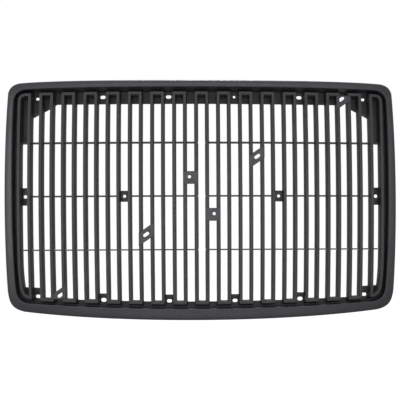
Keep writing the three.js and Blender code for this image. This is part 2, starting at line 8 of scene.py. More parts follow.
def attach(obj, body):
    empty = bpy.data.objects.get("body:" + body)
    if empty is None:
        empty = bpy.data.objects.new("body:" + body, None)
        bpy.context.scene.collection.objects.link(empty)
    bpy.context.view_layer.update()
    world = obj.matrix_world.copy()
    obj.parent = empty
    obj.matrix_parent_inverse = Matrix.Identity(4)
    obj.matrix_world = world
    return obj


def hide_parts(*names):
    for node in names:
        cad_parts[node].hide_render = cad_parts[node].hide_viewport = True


# Front grille of a truck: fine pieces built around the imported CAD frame.
# Sizes and places are the CAD's, in millimetres, except where a comment says metres.
# +Z is up and the front looks along -Y. A depth is a distance along +Y from the dome of the front.

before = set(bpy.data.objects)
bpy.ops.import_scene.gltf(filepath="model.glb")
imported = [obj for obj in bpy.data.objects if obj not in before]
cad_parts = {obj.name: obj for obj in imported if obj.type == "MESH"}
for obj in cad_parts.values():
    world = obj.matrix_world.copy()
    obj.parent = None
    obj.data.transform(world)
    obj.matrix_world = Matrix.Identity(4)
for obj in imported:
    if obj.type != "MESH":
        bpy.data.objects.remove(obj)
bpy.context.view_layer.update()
scene = bpy.context.scene

# ---------- driving dimensions ----------

MM = 0.001
SIDES = {"left": -1, "right": 1}

# The front is a shallow dome: its foremost point, and its radii in plan and in side view.
FRONT_Y = -97
PLAN_RADIUS = 5550
SIDE_RADIUS = 1950

# Louvre loops: each has two upright legs and a bar across each end. The ends follow shallow curves.
LOOP_COUNT = 17
PITCH = 63.35
LEG_SPACING = 31
LEG_REACH = (PITCH - LEG_SPACING) / 2
LOOP_TOP, LOOP_TOP_CURVE = 306, 5.5e-6
LOOP_BOTTOM, LOOP_BOTTOM_CURVE = -295, 5.4e-5
OUTSIDE_CORNER, INSIDE_CORNER = 2.4, 1.0
LOOP_STEP = 22
# Section of the bars, from the loop's centre line outwards. The ends' outer faces stand out further.
BAR_HALF_FRONT = 3.9
BAR_HALF_REAR = 6.1
BAR_DEPTH = 39.7
SHOULDER_DEPTH = 24
SIDE_SHOULDER = 5.23
TOP_SHOULDER = 10.3
BOTTOM_SHOULDER = 7.6
TOP_END_REAR = 6.5
CORNER_TOP_END_REAR = 14.5
BOTTOM_END_REAR = 10
FRONT_ROUND, SHOULDER_ROUND, REAR_ROUND = 0.9, 1.0, 0.5
# The outermost loops follow the surround's corners.
OUTER_LEG_X = 521
OUTER_LOOP_TOP = 303.2
OUTER_LOOP_BOTTOM = -277.6
LAST_LEG_X = LOOP_COUNT // 2 * PITCH - LEG_SPACING / 2

# Pegs on the loops go through the rails and end in domed heads.
PEG_RADIUS = 2.4
PEG_CLEARANCE = 0.35
PEG_ROOT = 3
STAKE_RADIUS = 4.4
STAKE_HEIGHT = 2.3
STAKE_RIM = 0.35

# Rails behind the loops. Their outer edge follows the surround at a share of its width, and their
# joints are closer than the CAD's, so that no light shines through.
RAIL_FRONT = 40.1
RAIL_REAR = 43.3
RAIL_EDGE_SHARE = 0.2
RAIL_EDGE_ROUND = 0.45
RAIL_JOINT_GAP = 0.06
RAIL_CELL = 22
PANEL_BOTTOM = 280.6
GUSSET = [(418, 279.6), (438, 266.2)]
GUSSET_END_Z = 237.8
NOTCH_X, NOTCH_TOP, NOTCH_HALF_WIDTH = 6.5 * PITCH, 306, 12
STILE_TOP = 152
STILE_BOTTOM = -236
STILE_EDGE_X = OUTER_LEG_X - 1.5
SILL_RISE = 2.6
SILL_STEP = 95
BOTTOM_TAB_TOP = 20.5
BOTTOM_TAB_HALF_WIDTH = 13.5
# Steps at the bottom rail's ends: height of the top outside and inside, and x of the foot.
STEP_TOP_OUTSIDE, STEP_TOP_INSIDE, STEP_FOOT_X = -248, -251, 460

# Hood slots as z, length, height and how far the slot lies inwards of its gap's middle.
SLOT_GAPS = (1, 4, 7)
TOP_SLOTS = [(301.3, 15.5, 10.3, 0), (301, 15.5, 10.3, 0), (297.6, 13.2, 8.3, 1.5)]
BOTTOM_SLOTS = [(-290, 14.4, 9.6, 0), (-286.3, 15.5, 11.2, 0), (-275.3, 15, 9.6, 0)]
LOCATOR_HOLE = 7.8
HOOD_PAD_FRONT, HOOD_PAD_REAR = RAIL_FRONT + 1.2, 46.6
HOOD_PAD_HALF_HEIGHT = 10
HOOD_PAD_CORNER = 2.2
HOOD_PAD_HOLE_MARGIN = 0.3

# Bosses in the surround, the collars on the rails behind them, and the screws.
BOSS_RADIUS = 4.8
BOSS_FRONT = 3.5
BOSS_REAR = 38.4
BOSS_TAPER = 0.8
PILOT_RADIUS = 2.5
PILOT_LENGTH = 17
CHAMFER = 0.4
COLLAR_RADIUS = 6.2
COLLAR_REAR = 45.4
SCREW_RADIUS = 2
SCREW_HEAD_RADIUS = 4.6
SCREW_HEAD_HEIGHT = 2.8
SCREW_LENGTH = 18
# Thread: turns, plain length at the point and under the head, radius at the root, and half its pitch.
THREAD_TURNS, THREAD_POINT, THREAD_RUNOUT = 15, 2.5, 1
THREAD_ROOT, THREAD_HALF_PITCH = SCREW_RADIUS * 0.78, 0.45
# Cross recess: length and width of its arms, and its depth.
RECESS = (5.0, 1.1, 1.5)

# Tie ribs, let into slots in the backs of the loops.
RIB_HEIGHTS = {"upper": 165, "middle": 11.5, "lower": -142}
RIB_THICKNESS = 3.8
RIB_FRONT = 17
RIB_REAR = 38
RIB_CLEARANCE = 0.35
RIB_SLOT_START, RIB_SLOT_REAR = 9, 60
RIB_STEP = 18
RIB_ROUND = 0.6
RIB_TAPER, RIB_END_SHARE = 0.35, 0.88

# Seats in the fronts of the loops: a sloping band for a trim bar, and a rectangle for an emblem. The
# band's block ends while it is still a sliver high, and the diagonal tabs lie a little inside the band.
SEAT_DEPTH = 3
SEAT_CENTRE_Z = 12
BAND_SLOPE = 0.698
BAND_HALF_HEIGHT = 19.3
BAND_REACH = 448
BAND_SLIVER = 0.4
BAND_INSET = 0.4
SEAT_TOP = 301.6
SEAT_BOTTOM = -282
EMBLEM_SEAT = (56, 72)
# Blocks that cut a loop start before its front and reach this far to both sides of its middle.
CUTTER_FRONT = -30
CUTTER_REACH = 26

# Tabs between the loops.
TAB_THICKNESS = 3
TAB_CLEARANCE = 0.35
EMBLEM_TAB_LAP, DIAGONAL_TAB_LAP = 1.5, 1
EMBLEM_TAB_HALF_HEIGHT, EMBLEM_TAB_MID_Z, EMBLEM_TAB_RISE = 18.3, 10, 52.4
EMBLEM_HOLE_X, EMBLEM_HOLE_RISE, EMBLEM_HOLE = 34.8, 2, 9.2
# Gap, place of the slot, and on the right side how far the slot drops and the plate reaches lower.
DIAGONAL_TABS = {"inner": (2, 158.4, 0, 0), "outer": (6, 404.6, 3.1, 6)}
DIAGONAL_SLOT = (19, 9)
MID_TAB_GAP, MID_TAB_HALF_HEIGHT, MID_TAB_INSET = 3, 15.9, 0.5
SIDE_TAB_FROM, SIDE_TAB_TO, SIDE_TAB_HALF_HEIGHT, SIDE_TAB_HOLE_X = 489.5, 519, 25.3, 507.8
MID_TAB_HOLE, SIDE_TAB_HOLE = 8.8, 10.2
SEAT_TAB_CORNER, REAR_TAB_CORNER = 1.2, 1.5

# Half outlines of the surround as joined Bezier stretches, from the top middle round the right side.
OUTER_OUTLINE = [
    (0, 346.8), (300, 346.8), (440, 345.8), (520, 340.2), (539, 337.6), (551, 331), (556.3, 311),
    (560.8, 240), (562.7, 110), (562.7, 0), (562.7, -110), (561, -205), (558.4, -260),
    (555.4, -298), (543.6, -312), (510, -319.3), (380, -335.3), (200, -345.5), (0, -345.5),
]
INNER_OUTLINE = [
    (0, 323.8), (290, 323.8), (420, 321.5), (500, 318.3), (520, 317.5), (533.5, 306), (536, 288),
    (538, 250), (538.3, 120), (538, 30), (538, -90), (535.5, -190), (531, -257),
    (527.5, -284), (512, -292), (490, -294), (360, -304), (190, -311.2), (0, -311.2),
]
OUTLINE_STEPS = (22, 16, 10, 10, 16, 22)

# Section of the surround: share of the band from outside to inside, mm further in, depth, radius.
SURROUND_SECTION = [
    (0, 0, 39.6, 0.5), (0, 0, 13, 5), (0, 1.4, 8, 6), (0.18, 0, 3.2, 8), (0.48, 0, -1, 10),
    (1, -2.8, -4.2, 1.6), (1, -0.4, -3, 1.2), (1, 0, 39.6, 0.5), (1, -3, 39.6, 0.5), (1, -3, 1.8, 2),
    (0.48, 0, 2.6, 4), (0, 3, 12, 4), (0, 3, 39.6, 0.5),
]
# Along the top the rear of the inner wall leans inwards, which fades out before the corners.
TOP_DRAFT = 8.7
DRAFT_END_X = 476
DRAFT_FADE = 48
DRAFT_START_DEPTH = 20


def bow(x, z):
    """How far back the dome of the grille's front lies."""
    return FRONT_Y + x * x / (2 * PLAN_RADIUS) + z * z / (2 * SIDE_RADIUS)


def tangent(x0, z0):
    """The plane that touches the dome at one point."""
    return lambda x, z: bow(x0, z0) + x0 * (x - x0) / PLAN_RADIUS + z0 * (z - z0) / SIDE_RADIUS


def loop_top(x):
    """Height of the centre line at the loops' upper ends."""
    return LOOP_TOP - LOOP_TOP_CURVE * x * x


def loop_bottom(x):
    """Height of the centre line at the loops' lower ends."""
    return LOOP_BOTTOM + LOOP_BOTTOM_CURVE * x * x


def gap_centre(gap):
    """Distance from the middle to a gap between two loops, counted from 0."""
    return (gap + 0.5) * PITCH


# ---------- studio ----------

# Strength of the white surroundings on the object. The camera sees them at full strength.
AMBIENT = 0.34
# Each soft box: place and size in metres, power in watts. All of them face the middle of the grille.
SOFT_BOXES = {
    "front_box": ((0, -3, 0), (3, 2), 34),
    "left_box": ((-2.3, -1.3, 0.3), (1, 1.6), 21),
    "right_box": ((2.3, -1.3, 0.3), (1, 1.6), 8),
    "top_box": ((0, -1.1, 2.2), (2, 1), 13),
    "low_box": ((0, -1.4, -2), (2, 1), 8),
    "back_box": ((0, 1.7, 2.2), (0.8, 0.8), 20),
}
# Floor: height and width in metres, and how brightly it glows.
FLOOR_Z = -1.1
FLOOR_SIZE = 40
FLOOR_GLOW = 0.78
# Camera: focal length for Blender's 36 mm image, shift in image widths, place in metres,
# turn about the upright in degrees, and roll in radians.
CAMERA_LENS = 79.407
CAMERA_SHIFT = (-0.0908, 0.1371)
CAMERA_PLACE = (0, -2.597, -0.1577)
CAMERA_TURN = -2.22
CAMERA_ROLL = -0.0047

# ---------- lines ----------

# A rounded corner takes no more than this share of either side.
CORNER_SHARE = 0.45


def rounded(corners, radii, steps=4):
    """A closed line with its corners rounded. A radius of None keeps the corner as one point."""
    out = []
    points = [np.array(c, float) for c in corners]
    for i, (p, radius) in enumerate(zip(points, radii)):
        if radius is None:
            out.append(p)
            continue
        a = points[i - 1] - p
        b = points[(i + 1) % len(points)] - p
        reach = min(radius, CORNER_SHARE * np.linalg.norm(a), CORNER_SHARE * np.linalg.norm(b))
        start = p + a / max(np.linalg.norm(a), 1e-9) * reach
        end = p + b / max(np.linalg.norm(b), 1e-9) * reach
        for t in np.linspace(0, 1, steps + 1):
            out.append((1 - t) ** 2 * start + 2 * t * (1 - t) * p + t * t * end)
    return out


def bezier(a, b, c, d, steps):
    """The points of a cubic Bezier stretch, without its first."""
    t = np.linspace(0, 1, steps + 1)[1:, None]
    a, b, c, d = (np.array(p, float) for p in (a, b, c, d))
    return (1 - t) ** 3 * a + 3 * (1 - t) ** 2 * t * b + 3 * (1 - t) * t * t * c + t ** 3 * d


def ring_points(outline):
    """A half outline with its mirror image, as one ring from the top middle."""
    half = [np.array(outline[0], float)]
    for i, steps in enumerate(OUTLINE_STEPS):
        half.extend(bezier(*outline[3 * i:3 * i + 4], steps))
    return half + [p * (-1, 1) for p in half[-2:0:-1]]


def rectangle(x, z, half_width, half_height, radius):
    corners = [
        (x - half_width, z - half_height), (x + half_width, z - half_height),
        (x + half_width, z + half_height), (x - half_width, z + half_height),
    ]
    return rounded(corners, [radius] * 4)


def slot_line(x, z, length, height, angle=0, sides=32):
    """A round-ended slot; one as long as it is high is a round hole."""
    radius, reach = height / 2, (length - height) / 2
    turn = np.array(((math.cos(angle), -math.sin(angle)), (math.sin(angle), math.cos(angle))))
    out = []
    for i in range(sides):
        a = 2 * math.pi * (i + 0.5) / sides
        p = (radius * math.cos(a) + math.copysign(reach, math.cos(a)), radius * math.sin(a))
        out.append(np.array((x, z)) + turn @ np.array(p))
    return out


# ---------- meshes ----------

def new_object(name, data):
    obj = bpy.data.objects.new(name, data)
    scene.collection.objects.link(obj)
    return obj


def mesh_object(name, points, faces):
    """An object from points in millimetres, its faces turned outwards."""
    mesh = bpy.data.meshes.new(name)
    mesh.from_pydata([tuple(c * MM for c in p) for p in points], [], faces)
    bm = bmesh.new()
    bm.from_mesh(mesh)
    bmesh.ops.remove_doubles(bm, verts=bm.verts, dist=1e-6)
    bmesh.ops.recalc_face_normals(bm, faces=bm.faces)
    bm.to_mesh(mesh)
    bm.free()
    return new_object(name, mesh)


def wrapped_grid(name, rings, closed=True):
    """A closed surface from rings of points. Its last ring meets the first, or both are capped."""
    rows, columns = len(rings), len(rings[0])
    points = [p for ring in rings for p in ring]
    faces = []
    for i in range(rows if closed else rows - 1):
        for j in range(columns):
            k = (j + 1) % columns
            n = (i + 1) % rows
            faces.append((i * columns + j, i * columns + k, n * columns + k, n * columns + j))
    if not closed:
        faces.append(tuple(range(columns)))
        faces.append(tuple(range(len(points) - columns, len(points))))
    return mesh_object(name, points, faces)


def lathe(name, x, z, profile, segments=24):
    """A turned piece on an axis along Y, from the (radius, depth) pairs of its profile."""
    y = bow(x, z)
    rings = []
    for i in range(segments):
        a = 2 * math.pi * i / segments
        rings.append([(x + r * math.cos(a), y + depth, z + r * math.sin(a)) for r, depth in profile])
    return wrapped_grid(name, rings)


def plate(name, outline, holes, front, rear, surface, edge=0.4, cell=None):
    """A flat piece with rounded edges, laid on a surface and divided into cells where it has to bend."""
    curve = bpy.data.curves.new(name, "CURVE")
    curve.dimensions = "2D"
    curve.fill_mode = "BOTH"
    curve.extrude = ((rear - front) / 2 - edge) * MM
    curve.bevel_depth = edge * MM
    curve.bevel_resolution = 1
    curve.offset = -edge * MM
    for line in (outline, *holes):
        spline = curve.splines.new("POLY")
        spline.points.add(len(line) - 1)
        for point, (u, v) in zip(spline.points, line):
            point.co = (u * MM, v * MM, 0, 1)
        spline.use_cyclic_u = True
    flat = new_object(name + "_flat", curve)
    bpy.context.view_layer.update()
    graph = bpy.context.evaluated_depsgraph_get()
    mesh = bpy.data.meshes.new_from_object(flat.evaluated_get(graph))
    bpy.data.objects.remove(flat)
    bm = bmesh.new()
    bm.from_mesh(mesh)
    bmesh.ops.remove_doubles(bm, verts=bm.verts, dist=1e-6)
    if cell:
        for axis in (0, 1):
            values = [v.co[axis] for v in bm.verts]
            steps = math.ceil((max(values) - min(values)) / (cell * MM))
            for i in range(1, steps):
                co = [0, 0, 0]
                co[axis] = min(values) + (max(values) - min(values)) * i / steps
                normal = [0, 0, 0]
                normal[axis] = 1
                geometry = bm.verts[:] + bm.edges[:] + bm.faces[:]
                bmesh.ops.bisect_plane(bm, geom=geometry, dist=1e-7, plane_co=co, plane_no=normal)
    for v in bm.verts:
        x, z = v.co.x / MM, v.co.y / MM
        v.co = (v.co.x, (surface(x, z) + (front + rear) / 2) * MM - v.co.z, v.co.y)
    bmesh.ops.recalc_face_normals(bm, faces=bm.faces)
    bm.to_mesh(mesh)
    bm.free()
    return new_object(name, mesh)


def join(target, *others):
    """Adds other pieces' meshes to a piece, as bodies fixed to it."""
    bm = bmesh.new()
    bm.from_mesh(target.data)
    for o in others:
        bm.from_mesh(o.data)
        bpy.data.objects.remove(o)
    bm.to_mesh(target.data)
    bm.free()
    return target


def cut(target, cutters):
    """Takes the cutters, a list of closed objects clear of each other, out of a piece."""
    if not cutters:
        return
    tool = join(*cutters) if len(cutters) > 1 else cutters[0]
    modifier = target.modifiers.new("cut", "BOOLEAN")
    modifier.operation = "DIFFERENCE"
    modifier.solver = "EXACT"
    modifier.object = tool
    bpy.context.view_layer.update()
    graph = bpy.context.evaluated_depsgraph_get()
    mesh = bpy.data.meshes.new_from_object(target.evaluated_get(graph))
    target.modifiers.clear()
    target.data = mesh
    bpy.data.objects.remove(tool)


def smooth(obj, degrees):
    for polygon in obj.data.polygons:
        polygon.use_smooth = True
    obj.data.set_sharp_from_angle(angle=math.radians(degrees))


def draped_block(name, x_from, x_to, low, high, front, rear, step=20):
    """A block between two depths of the dome, with its lower and upper edge as functions of x."""
    count = max(1, math.ceil((x_to - x_from) / step))
    rings = []
    for i in range(count + 1):
        x = x_from + (x_to - x_from) * i / count
        corners = [(low(x), front), (high(x), front), (high(x), rear), (low(x), rear)]
        rings.append([(x, bow(x, z) + depth, z) for z, depth in corners])
    return wrapped_grid(name, rings, closed=False)


def sheared_block(name, outline, surface, front, rear):
    """A prism through the sheet between two depths of a surface."""
    rings = [[(x, surface(x, z) + depth, z) for x, z in outline] for depth in (front, rear)]
    return wrapped_grid(name, rings, closed=False)


def finish_piece(obj, material, slot_name, *replaced, angle=35):
    smooth(obj, angle)
    obj.data.materials.clear()
    obj.data.materials.append(material)
    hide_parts(*replaced)
    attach(obj, "root")
    return obj


# ---------- materials ----------

# Noise scales are in cycles per metre. Bevel radii and bump distances are in metres.

def ramp(tree, source, low, high, start, end):
    node = tree.nodes.new("ShaderNodeMapRange")
    node.inputs["From Min"].default_value = low
    node.inputs["From Max"].default_value = high
    node.inputs["To Min"].default_value = start
    node.inputs["To Max"].default_value = end
    tree.links.new(source, node.inputs["Value"])
    return node.outputs["Result"]


def noise(tree, vector, scale, detail, roughness):
    node = tree.nodes.new("ShaderNodeTexNoise")
    node.inputs["Scale"].default_value = scale
    node.inputs["Detail"].default_value = detail
    node.inputs["Roughness"].default_value = roughness
    tree.links.new(vector, node.inputs["Vector"])
    return node.outputs["Fac"]


def mix_colour(tree, factor, first, second):
    node = tree.nodes.new("ShaderNodeMix")
    node.data_type = "RGBA"
    for key, value in (("A", first), ("B", second)):
        if isinstance(value, tuple):
            node.inputs[key].default_value = (*value, 1)
        else:
            tree.links.new(value, node.inputs[key])
    tree.links.new(factor, node.inputs["Factor"])
    return next(o for o in node.outputs if o.type == "RGBA")


def math_node(tree, operation, *values):
    node = tree.nodes.new("ShaderNodeMath")
    node.operation = operation
    for socket, value in zip(node.inputs, values):
        if isinstance(value, (int, float)):
            socket.default_value = value
        else:
            tree.links.new(value, socket)
    return node.outputs[0]


def edge_mask(tree, radius):
    """One along convex and concave edges, zero on the flats."""
    bevel = tree.nodes.new("ShaderNodeBevel")
    bevel.samples = 4
    bevel.inputs["Radius"].default_value = radius
    geometry = tree.nodes.new("ShaderNodeNewGeometry")
    dot = tree.nodes.new("ShaderNodeVectorMath")
    dot.operation = "DOT_PRODUCT"
    tree.links.new(bevel.outputs["Normal"], dot.inputs[0])
    tree.links.new(geometry.outputs["Normal"], dot.inputs[1])
    return ramp(tree, dot.outputs["Value"], 0.99, 0.86, 0, 1)


def moulded_plastic(name, dark, light, worn, rough_low, rough_high, grain):
    """Satin black plastic: flow mottling, a fine moulded grain, and edges rubbed paler and smoother."""
    material = bpy.data.materials.new(name)
    material.use_nodes = True
    tree = material.node_tree
    shader = tree.nodes["Principled BSDF"]
    place = tree.nodes.new("ShaderNodeTexCoord").outputs["Object"]
    flow = noise(tree, place, 9, 4, 0.6)
    speck = noise(tree, place, 420, 2, 0.6)
    mottle = math_node(tree, "ADD", ramp(tree, flow, 0.3, 0.7, 0, 0.7),
                       ramp(tree, speck, 0.35, 0.65, 0, 0.3))
    colour = mix_colour(tree, mottle, dark, light)
    patches = noise(tree, place, 33, 3, 0.55)
    wear = math_node(tree, "MULTIPLY", edge_mask(tree, 0.0011),
                     ramp(tree, patches, 0.42, 0.62, 0.15, 0.75))
    tree.links.new(mix_colour(tree, wear, colour, worn), shader.inputs["Base Color"])
    sheen = ramp(tree, noise(tree, place, 55, 4, 0.6), 0.3, 0.7, rough_low, rough_high)
    tree.links.new(math_node(tree, "SUBTRACT", sheen, math_node(tree, "MULTIPLY", wear, 0.08)),
                   shader.inputs["Roughness"])
    bump = tree.nodes.new("ShaderNodeBump")
    bump.inputs["Strength"].default_value = grain
    bump.inputs["Distance"].default_value = 0.00012
    height = math_node(tree, "ADD", noise(tree, place, 1100, 2, 0.5),
                       math_node(tree, "MULTIPLY", noise(tree, place, 60, 2, 0.5), 0.8))
    tree.links.new(height, bump.inputs["Height"])
    tree.links.new(bump.outputs["Normal"], shader.inputs["Normal"])
    return material


def zinc_steel(name):
    """Zinc-plated steel: bluish grey spangle, faint scratches and dulled edges."""
    material = bpy.data.materials.new(name)
    material.use_nodes = True
    tree = material.node_tree
    shader = tree.nodes["Principled BSDF"]
    shader.inputs["Metallic"].default_value = 1.0
    place = tree.nodes.new("ShaderNodeTexCoord").outputs["Object"]
    cells = tree.nodes.new("ShaderNodeTexVoronoi")
    cells.inputs["Scale"].default_value = 700
    tree.links.new(place, cells.inputs["Vector"])
    spangle = ramp(tree, cells.outputs["Distance"], 0, 0.8, 0, 1)
    colour = mix_colour(tree, spangle, (0.42, 0.44, 0.47), (0.6, 0.61, 0.63))
    wear = edge_mask(tree, 0.0005)
    tree.links.new(mix_colour(tree, wear, colour, (0.3, 0.29, 0.27)), shader.inputs["Base Color"])
    sheen = ramp(tree, noise(tree, place, 500, 4, 0.7), 0.3, 0.7, 0.24, 0.46)
    tree.links.new(sheen, shader.inputs["Roughness"])
    bump = tree.nodes.new("ShaderNodeBump")
    bump.inputs["Strength"].default_value = 0.25
    bump.inputs["Distance"].default_value = 0.00006
    tree.links.new(noise(tree, place, 1600, 3, 0.6), bump.inputs["Height"])
    tree.links.new(bump.outputs["Normal"], shader.inputs["Normal"])
    return material


surround_black = moulded_plastic(
    "surround_black", dark=(0.030, 0.030, 0.036), light=(0.038, 0.038, 0.046), worn=(0.06, 0.06, 0.066),
    rough_low=0.40, rough_high=0.50, grain=0.35)
louvre_black = moulded_plastic(
    "louvre_black", dark=(0.0245, 0.0245, 0.026), light=(0.032, 0.032, 0.034), worn=(0.06, 0.06, 0.062),
    rough_low=0.44, rough_high=0.56, grain=0.5)
carrier_black = moulded_plastic(
    "carrier_black", dark=(0.037, 0.038, 0.045), light=(0.051, 0.052, 0.061), worn=(0.068, 0.068, 0.076),
    rough_low=0.38, rough_high=0.50, grain=0.6)
zinc = zinc_steel("zinc_plate")

# ---------- surround ----------

outer_ring = ring_points(OUTER_OUTLINE)
inner_ring = ring_points(INNER_OUTLINE)


def band_line(share):
    """A line round the band, some way from its outside to its inside."""
    return [a + (b - a) * share for a, b in zip(outer_ring, inner_ring)]


def crossing(line, axis, value, keep=lambda _: True):
    """Where a line first crosses a value of x or z, among the stretches that the test keeps."""
    for a, b in zip(line, line[1:]):
        if keep(a) and keep(b) and (a[axis] - value) * (b[axis] - value) <= 0:
            return a + (b - a) * (value - a[axis]) / (b[axis] - a[axis])
    raise ValueError("the line doesn't cross that value")


# Where the band's middle line crosses a value of x (axis 0) or z (axis 1), on the stretch of the test.
SCREW_SITES = {
    "top_inner": (0, 158, lambda p: p[1] > 300), "top_outer": (0, 412, lambda p: p[1] > 300),
    "side_upper": (1, 215, lambda p: p[0] > 540), "side_lower": (1, -60, lambda p: p[0] > 540),
    "bottom_outer": (0, 400, lambda p: p[1] < -270), "bottom_inner": (0, 158, lambda p: p[1] < -270),
}
screw_places = {}
for site, (axis, value, keep) in SCREW_SITES.items():
    place = crossing(band_line(0.5), axis, value, keep)
    for side, sign in SIDES.items():
        screw_places[f"screw_{site}_{side}"] = (sign * place[0], place[1])


def build_surround():
    """The surround's section carried round the band, with the screws' bosses joined on."""
    rings = []
    for outer, inner in zip(outer_ring, inner_ring):
        across = inner - outer
        width = np.linalg.norm(across)
        fade = min(1, max(0, (DRAFT_END_X - abs(inner[0])) / DRAFT_FADE))
        lean = TOP_DRAFT * fade if inner[1] > 0 else 0
        corners = []
        for share, extra, depth, _ in SURROUND_SECTION:
            leaning = share == 1 and depth > DRAFT_START_DEPTH
            corners.append((share * width + extra + (lean if leaning else 0), depth))
        line = rounded(corners, [radius for *_, radius in SURROUND_SECTION])
        ring = []
        for s, depth in line:
            x, z = outer + across * (s / width)
            ring.append((x, bow(x, z) + depth, z))
        rings.append(ring)
    bosses = []
    for name, (x, z) in screw_places.items():
        deep = BOSS_REAR - PILOT_LENGTH
        profile = [
            (0, BOSS_FRONT), (BOSS_RADIUS + BOSS_TAPER, BOSS_FRONT),
            (BOSS_RADIUS, BOSS_REAR - CHAMFER), (BOSS_RADIUS - CHAMFER, BOSS_REAR),
            (PILOT_RADIUS + 0.3, BOSS_REAR), (PILOT_RADIUS, BOSS_REAR - 0.5),
            (PILOT_RADIUS, deep + CHAMFER), (PILOT_RADIUS - CHAMFER, deep), (0, deep),
        ]
        bosses.append(lathe("boss_" + name, x, z, profile))
    return join(wrapped_grid("surround", rings), *bosses)


finish_piece(build_surround(), surround_black, "satin_black_surround", "surround_bezel", angle=40)

# ---------- louvre loops ----------


def corner_loop_line():
    """Centre line of the loop at the right-hand end, and the places of its two sharp corners."""
    inner, leg, top, bottom = LAST_LEG_X, OUTER_LEG_X, OUTER_LOOP_TOP, OUTER_LOOP_BOTTOM
    line = [np.array((inner, bottom), float)]
    line.extend(bezier(
        (inner, bottom), (inner + 20, bottom + 3), (leg - 6, -262), (leg - 3.4, -240), 12))
    line.extend(bezier((leg - 3.4, -240), (leg - 1, -215), (leg, -195), (leg, -165), 6))
    line.append(np.array((leg, 284.0)))
    line.extend(bezier((leg, 284), (leg, 298), (leg - 6, top - 0.6), (leg - 18, top), 12))
    line.append(np.array((inner, top), float))
    return line, {0, len(line) - 1}


def loop_line(x):
    """Centre line of any other loop, and the places of its four sharp corners."""
    left, right = x - LEG_SPACING / 2, x + LEG_SPACING / 2
    corners = [
        (left, loop_bottom(left)), (right, loop_bottom(right)),
        (right, loop_top(right)), (left, loop_top(left)),
    ]
    return [np.array(c, float) for c in corners], {0, 1, 2, 3}


def offset_line(line, sharp, side, top, bottom, radius):
    """The line moved outwards, mitred as it goes, with its sharp corners rounded."""
    out = []
    for i, p in enumerate(line):
        before, after = p - line[i - 1], line[(i + 1) % len(line)] - p
        a = np.array((before[1], -before[0])) / np.linalg.norm(before)
        b = np.array((after[1], -after[0])) / np.linalg.norm(after)
        n = (a + b) / (1 + a @ b)
        out.append(p + (n[0] * side, n[1] * (top if n[1] > 0 else bottom)))
    return rounded(out, [radius if i in sharp else None for i in range(len(out))], 3)


def build_loop(name, line, sharp, top_end_rear):
    """A bar bent round the line. Each edge of its section has a line, a depth and a radius."""
    front, rear = BAR_HALF_FRONT, BAR_HALF_REAR
    outer_rear = (rear, top_end_rear, BOTTOM_END_REAR)
    shoulder = (SIDE_SHOULDER, TOP_SHOULDER, BOTTOM_SHOULDER)
    edges = [
        (offset_line(line, sharp, front, front, front, OUTSIDE_CORNER), 0, FRONT_ROUND),
        (offset_line(line, sharp, -front, -front, -front, INSIDE_CORNER), 0, FRONT_ROUND),
        (offset_line(line, sharp, -rear, -rear, -rear, INSIDE_CORNER), BAR_DEPTH, REAR_ROUND),
        (offset_line(line, sharp, *outer_rear, OUTSIDE_CORNER), BAR_DEPTH, REAR_ROUND),
        (offset_line(line, sharp, *shoulder, OUTSIDE_CORNER), SHOULDER_DEPTH, SHOULDER_ROUND),
    ]
    count = len(edges[0][0])
    rings = []
    for i in range(count):
        n = (i + 1) % count
        parts = max(1, math.ceil(np.linalg.norm(edges[0][0][n] - edges[0][0][i]) / LOOP_STEP))
        for k in range(parts):
            corners = [(*(e[i] + (e[n] - e[i]) * k / parts), depth) for e, depth, _ in edges]
            section = rounded(corners, [radius for *_, radius in edges], 3)
            rings.append([(x, bow(x, z) + depth, z) for x, z, depth in section])
    return wrapped_grid(name, rings)


def seat_middle(x):
    """Height of the sloping band's middle."""
    return SEAT_CENTRE_Z + BAND_SLOPE * x


def tab_outline(kind, side, clearance=0.0):
    """Outline of an emblem tab or diagonal tab, and the place it touches the dome."""
    if kind == "emblem":
        x = side * gap_centre(0)
        z = EMBLEM_TAB_MID_Z - side * EMBLEM_TAB_RISE
        half_width = LEG_REACH + BAR_HALF_FRONT + EMBLEM_TAB_LAP + clearance
        half_height = EMBLEM_TAB_HALF_HEIGHT + clearance
        return rectangle(x, z, half_width, half_height, SEAT_TAB_CORNER), (x, z)
    gap, _, _, lower = DIAGONAL_TABS[kind]
    x = side * gap_centre(gap)
    z = seat_middle(x)
    w = LEG_REACH + BAR_HALF_FRONT + DIAGONAL_TAB_LAP + clearance
    h = BAND_HALF_HEIGHT - BAND_INSET + 1.3 * clearance
    below = h + (lower if side > 0 else 0)
    corners = [
        (x - w, z - BAND_SLOPE * w - below), (x + w, z + BAND_SLOPE * w - below),
        (x + w, z + BAND_SLOPE * w + h), (x - w, z - BAND_SLOPE * w + h),
    ]
    kept = [corners[0]]
    for a, b in zip(corners, corners[1:] + corners[:1]):
        for limit in (SEAT_TOP, SEAT_BOTTOM):
            if (a[1] - limit) * (b[1] - limit) < 0:
                t = (limit - a[1]) / (b[1] - a[1])
                kept.append((a[0] + (b[0] - a[0]) * t, limit))
        kept.append(b)
    kept = [p for p in kept[:-1] if SEAT_BOTTOM <= p[1] <= SEAT_TOP]
    return rounded(kept, [SEAT_TAB_CORNER] * len(kept)), (x, z)


def rib_slots(low, high):
    """Blocks for the tie ribs' slots. The ribs stop inside the middle loop, so its slots do too."""
    half = RIB_THICKNESS / 2 + RIB_CLEARANCE
    spans = [(low, -RIB_SLOT_START), (RIB_SLOT_START, high)] if low < 0 < high else [(low, high)]
    out = []
    for z in RIB_HEIGHTS.values():
        for start, end in spans:
            out.append(draped_block(
                "slot", start, end, lambda _, z=z: z - half, lambda _, z=z: z + half,
                RIB_FRONT - RIB_CLEARANCE, RIB_SLOT_REAR))
    return out


